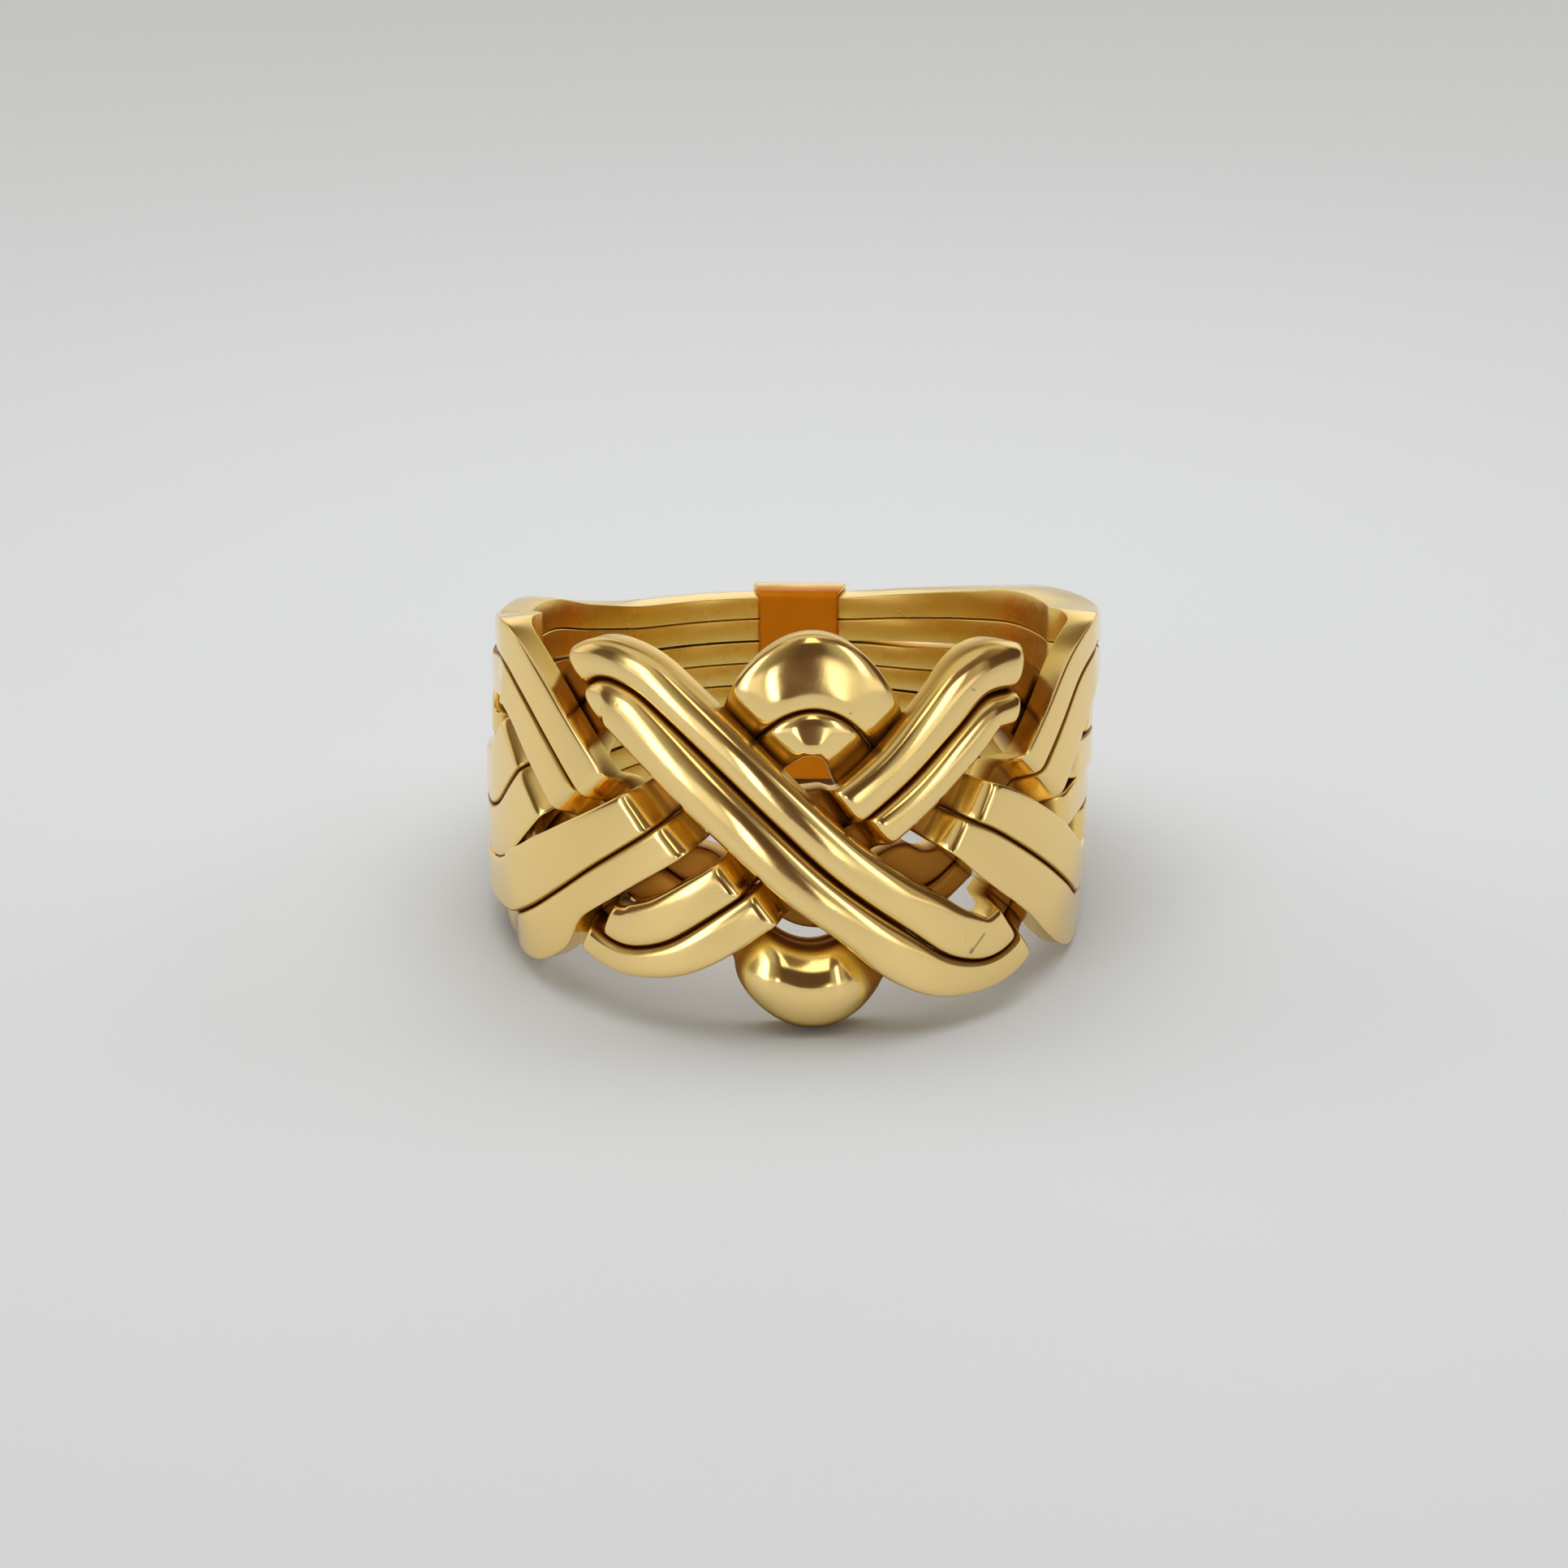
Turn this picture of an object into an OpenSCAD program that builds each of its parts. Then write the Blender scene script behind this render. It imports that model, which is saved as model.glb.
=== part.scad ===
// Puzzle ring: eight closed bands woven in four pairs, held at the back by a keeper strap.
// Millimetres. The ring lies on its side, as it comes to rest on a table: +Z is up, the front
// of the weave faces -Y, and the finger hollow runs up and down, leaning by rest_lean.
// The weave is laid out on an unrolled cylinder: every strand is a pair of bands that share
// one dividing line, and short tables give that line's height and each band's width and depth.

/* [Ring] */
// Radius of the finger hollow
bore_r = 9.4; // [9.2:0.05:9.8]
// Outer radius of a band where it passes under another
under_r = 10.42; // [10.2:0.01:10.46]
// Inner radius of a band where it passes over another
over_r = 10.52; // [10.48:0.01:10.8]
// Radius at which the unrolled weave is laid out
weave_r = 10.6; // [10.4:0.05:11]
// Gap between the two bands of a pair
pair_gap = 0.06; // [0.04:0.01:0.12]

/* [Section] */
// Points along the outer curve of a band's section
crown_points = 8; // [6:1:12]
// Share of the thickness that is a straight side on a flat band
side_flat = 0.88; // [0.5:0.01:0.95]
// Share of that side which a fully domed band gives up
side_domed = 0.5; // [0.2:0.05:0.7]
// Roundness of a flat band's corners, where 1 is an ellipse
corner_flat = 0.3; // [0.2:0.05:1]
// Roundness that a fully domed band gains
corner_domed = 0.7; // [0.2:0.05:1]

/* [Keeper] */
// Angle round the ring of the strap's middle, from the front
keeper_angle = 174; // [160:1:200]
// Width of the strap round the ring, in degrees
keeper_span = 19; // [8:1:30]
// Sheet thickness of the strap
keeper_t = 0.24; // [0.2:0.01:0.6]
// Gap between the strap and the bands
keeper_gap = 0.06; // [0.04:0.01:0.15]

/* [Rest] */
// Lean of the ring as it rests on its front lobe and back rim
rest_lean = 9.9; // [0:0.1:15]
// Turn of the weave about the finger hollow
rest_turn = 4; // [-10:0.5:10]
// Height of the ring's centre above the table
rest_lift = 5.70; // [3:0.01:8]
// Distance that centres the ring's box on the origin, to the right
rest_x = -0.06; // [-1:0.01:1]
// Distance that centres the ring's box on the origin, to the back
rest_y = 0.16; // [-1:0.01:1]

/* [Hidden] */

full_turn = 360;
// Angle between the five readings that round off the dividing lines
route_ease = 1.6;
// Angle between the five readings that round off the steps between levels
level_ease = 0.5;
// Angle either side at which the slope of a dividing line is read
slope_reach = 0.5;
// Weights of the five readings
ease_weights = [1, 4, 6, 4, 1] / 16;

// Height of a band's back part and its largest radius there, both read from the tables
back_half_h = 2.66 + 0.83 + pair_gap / 2;
back_r = 10.9;

gold_light = [0.93, 0.80, 0.52];
gold_mid = [0.86, 0.70, 0.40];
gold_deep = [0.76, 0.55, 0.28];

// Route columns: angle from the front, height of the dividing line, width of the upper band,
// width of the lower band, gap between them
route_line = 1;
route_upper = 2;
route_lower = 3;
route_gap = 4;
// Level columns: angle, inner radius, outer radius, dome from 0 for flat to 1 for round
level_in = 1;
level_out = 2;
level_dome = 3;
// Station columns: angle, number of sections from there to the next row

bottom_loop_route = [
    [-165, 2.66, 0.83, 0.83, pair_gap], [-150, 2.68, 0.84, 0.84, pair_gap],
    [-131, 3.08, 0.94, 0.93, pair_gap], [-113, 3.68, 1.12, 1.1, pair_gap],
    [-90, 3.85, 1.3, 1.4, pair_gap], [-76, 4.35, 1.3, 1.6, pair_gap],
    [-68, 4.45, 1.4, 1.7, pair_gap], [-60, 3.6, 1.4, 1.35, pair_gap],
    [-52, 2.2, 1.36, 1.42, pair_gap], [-45, 0.7, 1.4, 1.35, pair_gap],
    [-40, -0.26, 1.15, 1.75, pair_gap], [-34, -1.25, 1.15, 1.95, pair_gap],
    [-28, -2.01, 1.25, 1.8, pair_gap], [-24, -2.4, 1.45, 1.6, pair_gap],
    [-20, -2.69, 1.5, 1.4, 0.09], [-16, -2.95, 0.72, 1.4, 0.15], [-10, -3.35, 0.75, 1.8, 0.4],
    [-5, -3.95, 0.9, 2.5, 0.5], [0, -4.18, 0.95, 3.1, 0.5], [5, -3.95, 1, 2.62, 0.5],
    [10, -3.35, 0.9, 1.8, 0.4], [12, -3.19, 1.25, 1.6, 0.32], [16, -2.95, 1.75, 1.3, 0.15],
    [20, -2.77, 1.85, 1.1, 0.09], [24, -2.56, 1.45, 0.95, pair_gap],
    [29, -1.95, 0.85, 0.95, pair_gap], [34, -1.15, 0.75, 1.3, pair_gap],
    [45, 0.72, 1.15, 1.65, pair_gap], [52, 2.3, 1.15, 1.7, pair_gap],
    [60, 3.95, 1.2, 1.75, pair_gap], [70, 4.5, 1.2, 1.7, pair_gap], [78, 4.2, 1.2, 1.5, pair_gap],
    [90, 3.85, 1.3, 1.4, pair_gap], [113, 3.66, 1.2, 1.2, pair_gap],
    [130, 3.3, 1.05, 1.02, pair_gap], [150, 2.9, 0.9, 0.9, pair_gap],
    [165, 2.67, 0.83, 0.83, pair_gap], [180, 2.66, 0.83, 0.83, pair_gap]
];

bottom_loop_lower_level = [
    [-180, bore_r, 10.9, 0.1], [-90, bore_r, 10.9, 0.1], [-74, bore_r, 11.1, 0.1],
    [-65, over_r, 11.4, 0.1], [-45, over_r, 11.45, 0.1], [-43.2, bore_r, under_r, 0.3],
    [-10, bore_r, under_r, 0.6], [-3.5, bore_r, 11.1, 0.9], [2, bore_r, 11.1, 0.9],
    [7, bore_r, under_r, 0.6], [44, bore_r, under_r, 0.3], [46, over_r, 11.45, 0.1],
    [66, over_r, 11.45, 0.1], [75, bore_r, 11.3, 0.1], [90, bore_r, 11.3, 0.1]
];

bottom_loop_upper_level = [
    [-180, bore_r, 10.9, 0.1], [-112, bore_r, 10.75, 0.1], [-100, bore_r, 10.6, 0.1],
    [-88, bore_r, 10.65, 0.1], [-74, bore_r, 11.1, 0.1], [-65, over_r, 11.4, 0.1],
    [-43.7, over_r, 11.45, 0.1], [-41.9, bore_r, under_r, 0.3], [-17, bore_r, under_r, 0.3],
    [-12, bore_r, 9.92, 0.3], [-1, bore_r, 9.92, 0.3], [5, bore_r, under_r, 0.3],
    [44, bore_r, under_r, 0.3], [46, over_r, 11.45, 0.1], [66, over_r, 11.45, 0.1],
    [75, bore_r, 11.3, 0.1], [90, bore_r, 11.3, 0.1]
];

top_loop_route = [
    [-150, -2.66, 0.8, 0.8, pair_gap], [-131, -3, 0.92, 0.88, pair_gap],
    [-113, -3.26, 1.02, 1, pair_gap], [-90, -4.3, 1.18, 0.85, pair_gap],
    [-76, -4.87, 1.55, 1, pair_gap], [-66, -4.77, 2.05, 1.35, pair_gap],
    [-59, -4.27, 2.2, 1.85, pair_gap], [-54, -3.72, 2.12, 1.85, pair_gap],
    [-51, -3.33, 2.1, 1.65, pair_gap], [-49, -3.08, 2.05, 1.15, pair_gap],
    [-42, -2.1, 1.82, 1.22, pair_gap], [-36, -1.3, 1.66, 1.22, pair_gap],
    [-27, -0.05, 1.5, 1.28, pair_gap], [-18, 1.6, 1.35, 1.3, pair_gap],
    [-10, 3.03, 1.55, 1.42, pair_gap], [-7.5, 3.55, 1.9, 1.48, pair_gap],
    [-5, 3.87, 2.2, 1.52, pair_gap], [0, 4.1, 2.7, 1.62, pair_gap], [5, 3.82, 2.05, 1.52, pair_gap],
    [7.5, 3.45, 1.72, 1.48, pair_gap], [10, 2.9, 1.55, 1.55, pair_gap],
    [12.5, 2.37, 1.48, 1.95, pair_gap], [15, 1.86, 1.42, 1.9, pair_gap],
    [18, 1.3, 1.35, 1.45, pair_gap], [26, 0.1, 1.4, 1.15, pair_gap],
    [33, -0.55, 1.5, 1.5, pair_gap], [40, -1.4, 1.6, 1.68, pair_gap],
    [50, -2.7, 1.65, 1.8, pair_gap], [57, -3.65, 1.55, 2, pair_gap],
    [64, -4.4, 1.5, 1.85, pair_gap], [76, -4.6, 1.35, 1.2, pair_gap],
    [90, -4.19, 1.16, 0.85, pair_gap], [101, -3.78, 1.1, 0.92, pair_gap],
    [113, -3.4, 1.03, 1, pair_gap], [130, -3, 0.92, 0.92, pair_gap],
    [150, -2.7, 0.84, 0.83, pair_gap], [180, -2.66, 0.82, 0.82, pair_gap]
];

top_loop_lower_level = [
    [-180, bore_r, 10.9, 0.1], [-90, bore_r, 10.6, 0.1], [-72, bore_r, 10.8, 0.1],
    [-60, over_r, 11.4, 0.1], [-27.6, over_r, 11.5, 0.1], [-24.8, bore_r, under_r, 0.3],
    [-13, bore_r, under_r, 0.4], [-10.5, 9.6, under_r, 0.4], [-9.4, 9.75, 10.75, 0.4],
    [-7.5, 9.9, 10.98, 0.4], [-3, 9.9, 11.1, 0.4], [3, 9.9, 11.1, 0.4], [7.6, 9.9, 10.98, 0.4],
    [9.4, 9.75, 10.75, 0.4], [10.6, 9.6, under_r, 0.4], [12.5, bore_r, under_r, 0.4],
    [25.2, bore_r, under_r, 0.3], [28, over_r, 11.45, 0.1], [55, over_r, 11.4, 0.1],
    [68, over_r, 10.95, 0.1], [77, bore_r, 10.8, 0.1], [90, bore_r, 10.7, 0.1]
];

top_loop_upper_level = [
    [-180, bore_r, 10.9, 0.1], [-90, bore_r, 11.2, 0.1], [-72, bore_r, 11.35, 0.1],
    [-60, over_r, 11.5, 0.1], [-29.6, over_r, 11.5, 0.1], [-26.6, bore_r, under_r, 0.3],
    [-14, bore_r, under_r, 0.4], [-10.5, 9.8, under_r, 0.5], [-9, 10.05, 10.8, 0.5],
    [-7.5, 10.2, 11.02, 0.5], [-3.5, 10.25, 11.15, 0.5], [3.7, 10.25, 11.15, 0.5],
    [7.7, 10.2, 11.02, 0.5], [9.6, 10.05, 10.85, 0.5], [11, 9.8, under_r, 0.5],
    [14, bore_r, under_r, 0.4], [27.4, bore_r, under_r, 0.3], [30.9, over_r, 11.45, 0.1],
    [55, over_r, 11.4, 0.1], [68, over_r, 11.05, 0.1], [77, bore_r, 10.95, 0.1],
    [90, bore_r, 10.9, 0.1]
];

over_pair_route = [
    [-150, -0.87, 0.82, 0.82, pair_gap], [-131, -0.95, 0.95, 0.95, pair_gap],
    [-113, -1.02, 1.05, 1.05, pair_gap], [-100, -1.25, 1.35, 1.3, pair_gap],
    [-88, -1.45, 1.85, 1.5, pair_gap], [-81, -1.5, 2, 1.8, pair_gap],
    [-75, -1.2, 2, 1.85, pair_gap], [-67, 0, 2, 1.9, pair_gap], [-62, 0.85, 2, 1.9, pair_gap],
    [-54, 2.4, 1.7, 1.7, pair_gap], [-46, 3.9, 1.4, 1.3, pair_gap],
    [-38, 4.86, 1.35, 1.6, pair_gap], [-32.5, 4.61, 1.4, 1.8, pair_gap],
    [-26, 3.7, 1.4, 1.85, pair_gap], [-17, 2.13, 1.4, 1.85, pair_gap],
    [-7, 0.2, 1.4, 1.7, pair_gap], [2, -1.55, 1.45, 1.6, pair_gap],
    [9.5, -2.77, 1.5, 1.5, pair_gap], [17, -3.85, 1.6, 1.7, pair_gap],
    [25, -4.95, 1.65, 1.42, pair_gap], [32, -5.25, 1.45, 1.05, pair_gap],
    [38, -4.98, 1.5, 1, pair_gap], [44, -4.12, 1.4, 1.1, pair_gap],
    [52, -2.65, 1.35, 1.25, pair_gap], [60, -1.96, 1.4, 1.4, pair_gap],
    [68, -1.68, 1.4, 1.4, pair_gap], [78, -1.62, 1.3, 1.3, pair_gap],
    [90, -1.65, 1.2, 1.18, pair_gap], [101, -1.36, 1.12, 1.1, pair_gap],
    [113, -1.14, 1.05, 1.05, pair_gap], [130, -0.98, 0.95, 0.95, pair_gap],
    [150, -0.9, 0.83, 0.83, pair_gap], [180, -0.88, 0.82, 0.82, pair_gap]
];

over_pair_lower_level = [
    [-180, bore_r, 10.9, 0.1], [-110, bore_r, 10.9, 0.1], [-102, 10.25, 11.15, 0.1],
    [-63.5, 10.35, 11.2, 0.1], [-60.5, bore_r, under_r, 0.2], [-46.5, bore_r, under_r, 0.4],
    [-43, 10.3, 11.5, 0.7], [-32, over_r, 11.75, 0.7], [12, over_r, 11.75, 0.6],
    [22, over_r, 11.72, 0.3], [32, over_r, 11.65, 0.2], [40.2, 10.3, 11.5, 0.2],
    [43.1, bore_r, under_r, 0.2], [69.5, bore_r, under_r, 0.2], [73.5, bore_r, 10.95, 0.1],
    [90, bore_r, 10.95, 0.1]
];

over_pair_upper_level = [
    [-180, bore_r, 10.9, 0.1], [-110, bore_r, 10.9, 0.1], [-102, 10.25, 11.15, 0.1],
    [-63.5, 10.35, 11.2, 0.1], [-60.5, bore_r, under_r, 0.2], [-45.5, bore_r, under_r, 0.4],
    [-42, 10.3, 11.5, 0.7], [-32, over_r, 11.75, 0.7], [12, over_r, 11.75, 0.6],
    [22, over_r, 11.72, 0.3], [32, over_r, 11.65, 0.2], [39.7, 10.3, 11.5, 0.2],
    [42.1, bore_r, under_r, 0.2], [58, bore_r, under_r, 0.2], [62, bore_r, 10.95, 0.1],
    [90, bore_r, 10.95, 0.1]
];

under_pair_route = [
    [-150, 0.87, 0.82, 0.82, pair_gap], [-131, 1.07, 0.92, 0.92, pair_gap],
    [-113, 1.3, 1.05, 1.05, pair_gap], [-100, 1.2, 1.1, 1.1, pair_gap],
    [-90, 0.9, 1.1, 1.1, pair_gap], [-80, 0.3, 1.1, 1.1, pair_gap],
    [-72, -0.5, 1.15, 1.15, pair_gap], [-60, -1.9, 1.2, 1.2, pair_gap],
    [-50, -3.2, 1.2, 1.2, pair_gap], [-42, -4.15, 1.1, 1, pair_gap], [-34, -4.65, 1.5, 1, pair_gap],
    [-27, -4.35, 1.55, 1.2, pair_gap], [-20, -3.5, 1.5, 1.4, pair_gap],
    [-10, -2.1, 1.4, 1.4, pair_gap], [-8, -1.86, 1.75, 1.4, pair_gap],
    [-4, -1.41, 2.15, 1.4, pair_gap], [0, -0.95, 2.2, 1.3, pair_gap],
    [4, -0.47, 1.9, 1.3, pair_gap], [8, 0.05, 1.45, 1.25, pair_gap], [17, 1.4, 1.5, 1.3, pair_gap],
    [27, 3.15, 1.75, 1.35, pair_gap], [34, 4.1, 1.85, 1.3, pair_gap],
    [40, 4.1, 1.6, 1.25, pair_gap], [46, 3.4, 1.35, 1.25, pair_gap], [54, 2.1, 1.35, 1.3, pair_gap],
    [62, 1.38, 1.4, 1.4, pair_gap], [75, 1.15, 1.42, 1.35, pair_gap],
    [90, 0.95, 1.27, 1.25, pair_gap], [113, 1.14, 1.05, 1.05, pair_gap],
    [130, 1.08, 0.93, 0.95, pair_gap], [150, 0.9, 0.83, 0.83, pair_gap],
    [180, 0.88, 0.82, 0.82, pair_gap]
];

under_pair_lower_level = [
    [-180, bore_r, 10.9, 0.1], [-114, bore_r, 10.9, 0.1], [-106, bore_r, 10.15, 0.1],
    [-60, bore_r, 10.15, 0.1], [-43.7, bore_r, under_r, 0.3], [-42, 10.3, 11.4, 0.4],
    [-36, over_r, 11.45, 0.4], [-11, over_r, 11.5, 0.4], [-8.8, 10.02, under_r, 0.3],
    [-2, 10.02, under_r, 0.3], [2, bore_r, under_r, 0.3], [8, bore_r, under_r, 0.3],
    [9.8, over_r, 11.4, 0.6], [27, over_r, 11.5, 0.8], [34, 10.1, 11.5, 0.8],
    [40.5, 10.1, 11.45, 0.8], [43.5, bore_r, under_r, 0.4], [60, bore_r, under_r, 0.2],
    [64, bore_r, 11.1, 0.1], [90, bore_r, 11.1, 0.1]
];

under_pair_upper_level = [
    [-180, bore_r, 10.9, 0.1], [-114, bore_r, 10.9, 0.1], [-87, bore_r, 10.95, 0.1],
    [-83, bore_r, 10.15, 0.1], [-60, bore_r, 10.15, 0.1], [-41.2, bore_r, under_r, 0.3],
    [-39.6, 10.3, 11.4, 0.4], [-36, over_r, 11.45, 0.4], [-12.6, over_r, 11.5, 0.4],
    [-10.4, bore_r, under_r, 0.3], [6.6, bore_r, under_r, 0.3], [8.4, over_r, 11.4, 0.6],
    [27, over_r, 11.5, 0.8], [34, 10.1, 11.5, 0.8], [39.5, 10.1, 11.45, 0.8],
    [42.5, bore_r, under_r, 0.4], [67, bore_r, under_r, 0.2], [71, bore_r, 11.1, 0.1],
    [90, bore_r, 11.1, 0.1]
];

// Sections for each strand, closer together where a band steps up or down
bottom_loop_stations = [
    [-180, 10], [-100, 6], [-76, 8], [-47, 6], [-40, 7], [-20, 6], [-8, 8],
    [8, 4], [20, 7], [41, 5], [48, 4], [62, 6], [80, 5], [100, 10]
];

top_loop_stations = [
    [-180, 10], [-100, 7], [-72, 5], [-56, 6], [-42, 4], [-31, 6], [-23, 3], [-14, 7], [-6, 4],
    [6, 7], [15, 4], [24, 6], [32, 9], [66, 4], [78, 5], [100, 9]
];

over_pair_stations = [
    [-180, 9], [-111, 4], [-100, 10], [-65, 5], [-58, 3], [-48, 6], [-40, 5], [-26, 7],
    [-2, 7], [20, 6], [38.5, 5], [44.5, 4], [57, 4], [64, 4], [73, 6], [100, 10]
];

under_pair_stations = [
    [-180, 9], [-115, 6], [-88, 4], [-82, 6], [-60, 4], [-46, 6], [-38, 7], [-14, 5], [-7.5, 4],
    [6, 4], [11, 5], [26, 5], [39, 4], [44.5, 4], [59, 5], [72, 6], [100, 9]
];

// A curve is a table column made ready to read: [angles, values, slopes], wrapped past both ends
function wrapped(rows, col) = let (n = len(rows)) concat(
    [for (i = [n - 2, n - 1]) [rows[i][0] - full_turn, rows[i][col]]],
    [for (row = rows) [row[0], row[col]]],
    [for (i = [0, 1]) [rows[i][0] + full_turn, rows[i][col]]]
);

// Slope at knot i that keeps the curve from overshooting
function knot_slope(p, i) =
    let (
        h0 = p[i][0] - p[i - 1][0],
        h1 = p[i + 1][0] - p[i][0],
        d0 = (p[i][1] - p[i - 1][1]) / h0,
        d1 = (p[i + 1][1] - p[i][1]) / h1,
        w0 = 2 * h1 + h0,
        w1 = h1 + 2 * h0
    )
    d0 * d1 <= 0 ? 0 : (w0 + w1) / (w0 / d0 + w1 / d1);

function curve(rows, col) =
    let (p = wrapped(rows, col), last = len(p) - 1)
    [for (i = [0:last]) [p[i][0], p[i][1], i == 0 || i == last ? 0 : knot_slope(p, i)]];

function turned_in(a, start) = a - full_turn * floor((a - start) / full_turn);

// Value of a curve at an angle
function read(c, angle) =
    let (
        a = turned_in(angle, c[2][0]),
        k = len([for (knot = c) if (knot[0] <= a) 1]) - 1,
        h = c[k + 1][0] - c[k][0],
        t = (a - c[k][0]) / h
    )
    (1 + 2 * t) * (1 - t) * (1 - t) * c[k][1] + t * (1 - t) * (1 - t) * h * c[k][2]
    + t * t * (3 - 2 * t) * c[k + 1][1] + t * t * (t - 1) * h * c[k + 1][2];

// Value of a curve at an angle, rounded off by nearby readings
function eased(c, angle, reach) =
    ease_weights * [for (j = [-2:2]) read(c, angle + j * reach)];

// Angles at which a strand has sections
function stations(rows) = [
    for (i = [0:len(rows) - 1])
        let (
            a = rows[i][0],
            b = i < len(rows) - 1 ? rows[i + 1][0] : rows[0][0] + full_turn
        )
        for (j = [0:rows[i][1] - 1]) a + (b - a) * j / rows[i][1]
];

function bent(x, power) = sign(x) * pow(abs(x), power);

// Section of a band: distance from its edge at the dividing line, height above its inner face
function section(w, t, dome) =
    let (
        side = t * (side_flat - side_domed * dome),
        power = corner_flat + corner_domed * dome,
        crown = [
            for (i = [0:crown_points - 1])
                let (phi = 180 * i / (crown_points - 1))
                [w / 2 + w / 2 * bent(cos(phi), power), side + (t - side) * bent(sin(phi), power)]
        ]
    )
    concat([[0, 0], [w, 0]], crown);

// Point of the unrolled weave, wrapped round the ring
function on_ring(along, height, r) =
    let (angle = along * 180 / (PI * weave_r))
    [r * sin(angle), -r * cos(angle), height];

// One closed band of a pair: side is 1 for the upper band and -1 for the lower one
module band(route, level, rows, side) {
    line = curve(route, route_line);
    width = curve(route, side > 0 ? route_upper : route_lower);
    gap = curve(route, route_gap);
    inner = curve(level, level_in);
    outer = curve(level, level_out);
    dome = curve(level, level_dome);
    angles = stations(rows);
    n = len(angles);
    m = crown_points + 2;
    points = [
        for (a = angles)
            let (
                rise = eased(line, a + slope_reach, route_ease)
                    - eased(line, a - slope_reach, route_ease),
                slope = rise / (2 * slope_reach * PI / 180 * weave_r),
                reach = sqrt(1 + slope * slope),
                edge = eased(gap, a, route_ease) / 2,
                r = eased(inner, a, level_ease),
                t = eased(outer, a, level_ease) - r
            )
            for (p = section(eased(width, a, route_ease), t, eased(dome, a, level_ease)))
                let (out = side * (edge + p[0]))
                on_ring(
                    a * PI / 180 * weave_r - slope / reach * out,
                    eased(line, a, route_ease) + out / reach,
                    r + p[1]
                )
    ];
    faces = [
        for (i = [0:n - 1], j = [0:m - 1])
            let (
                p = i * m + j,
                q = i * m + (j + 1) % m,
                u = (i + 1) % n * m + j,
                v = (i + 1) % n * m + (j + 1) % m
            )
            each side > 0 ? [[p, v, q], [p, u, v]] : [[p, q, v], [p, v, u]]
    ];
    at_rest() polyhedron(points, faces);
}

// Lays the ring down as it rests, with its box centred over the origin
module at_rest() {
    translate([rest_x, rest_y, rest_lift])
        rotate([-rest_lean, 0, 0])
            rotate([0, 0, rest_turn])
                children();
}

module over_band_upper() {
    color(gold_light) band(over_pair_route, over_pair_upper_level, over_pair_stations, 1);
}

module over_band_lower() {
    color(gold_mid) band(over_pair_route, over_pair_lower_level, over_pair_stations, -1);
}

module under_band_upper() {
    color(gold_light) band(under_pair_route, under_pair_upper_level, under_pair_stations, 1);
}

module under_band_lower() {
    color(gold_mid) band(under_pair_route, under_pair_lower_level, under_pair_stations, -1);
}

module top_loop_outer() {
    color(gold_light) band(top_loop_route, top_loop_upper_level, top_loop_stations, 1);
}

module top_loop_inner() {
    color(gold_mid) band(top_loop_route, top_loop_lower_level, top_loop_stations, -1);
}

module bottom_loop_inner() {
    color(gold_light) band(bottom_loop_route, bottom_loop_upper_level, bottom_loop_stations, 1);
}

module bottom_loop_outer() {
    color(gold_mid) band(bottom_loop_route, bottom_loop_lower_level, bottom_loop_stations, -1);
}

// Strap of sheet folded round the eight bands at the back
module back_keeper() {
    r_in = bore_r - keeper_gap;
    r_out = back_r + keeper_gap;
    half = back_half_h + keeper_gap;
    color(gold_deep)
        at_rest()
            rotate([0, 0, keeper_angle - keeper_span / 2 - 90])
                rotate_extrude(angle = keeper_span, $fn = 180)
                    difference() {
                        translate([r_in - keeper_t, -half - keeper_t])
                            square([r_out - r_in + 2 * keeper_t, 2 * (half + keeper_t)]);
                        translate([r_in, -half])
                            square([r_out - r_in, 2 * half]);
                    }
}

over_band_upper();
over_band_lower();
under_band_upper();
under_band_lower();
top_loop_outer();
top_loop_inner();
bottom_loop_inner();
bottom_loop_outer();
back_keeper();
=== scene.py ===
"""Looks of the puzzle ring: eight woven gold bands and the keeper strap behind them."""
import math

import bpy
import numpy as np
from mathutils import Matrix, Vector

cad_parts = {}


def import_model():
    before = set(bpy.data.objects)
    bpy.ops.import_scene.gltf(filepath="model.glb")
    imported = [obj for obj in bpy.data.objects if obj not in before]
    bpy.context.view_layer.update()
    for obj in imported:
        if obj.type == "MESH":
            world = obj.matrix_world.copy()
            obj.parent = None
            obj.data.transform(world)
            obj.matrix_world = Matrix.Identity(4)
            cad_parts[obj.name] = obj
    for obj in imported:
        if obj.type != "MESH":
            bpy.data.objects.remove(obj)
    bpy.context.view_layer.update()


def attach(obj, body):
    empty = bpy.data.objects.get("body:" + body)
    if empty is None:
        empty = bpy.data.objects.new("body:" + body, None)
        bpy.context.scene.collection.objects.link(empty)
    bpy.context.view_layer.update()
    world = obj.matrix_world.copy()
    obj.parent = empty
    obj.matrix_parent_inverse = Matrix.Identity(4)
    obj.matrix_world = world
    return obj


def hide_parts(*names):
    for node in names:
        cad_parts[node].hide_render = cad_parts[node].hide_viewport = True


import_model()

# Sizes and places are in millimetres, as in the part's source, and become metres through MM
MM = 0.001

# Radii: the hollow, the outside of bands that pass under, the inside of bands that pass over, the
# cylinder on which the routes are drawn, and the outside of the back
BORE_R = 9.4
UNDER_R = 10.42
OVER_R = 10.52
WEAVE_R = 10.6
BACK_R = 10.9

# Gap between the two bands of a pair
PAIR_GAP = 0.06
# Side walls of a flat section as a share of its thickness, and what a full dome takes off
SIDE_FLAT, SIDE_DOMED = 0.88, 0.5
# Power of the crown's curve on a flat section, and what a full dome adds
CORNER_FLAT, CORNER_DOMED = 0.3, 0.7
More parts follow.
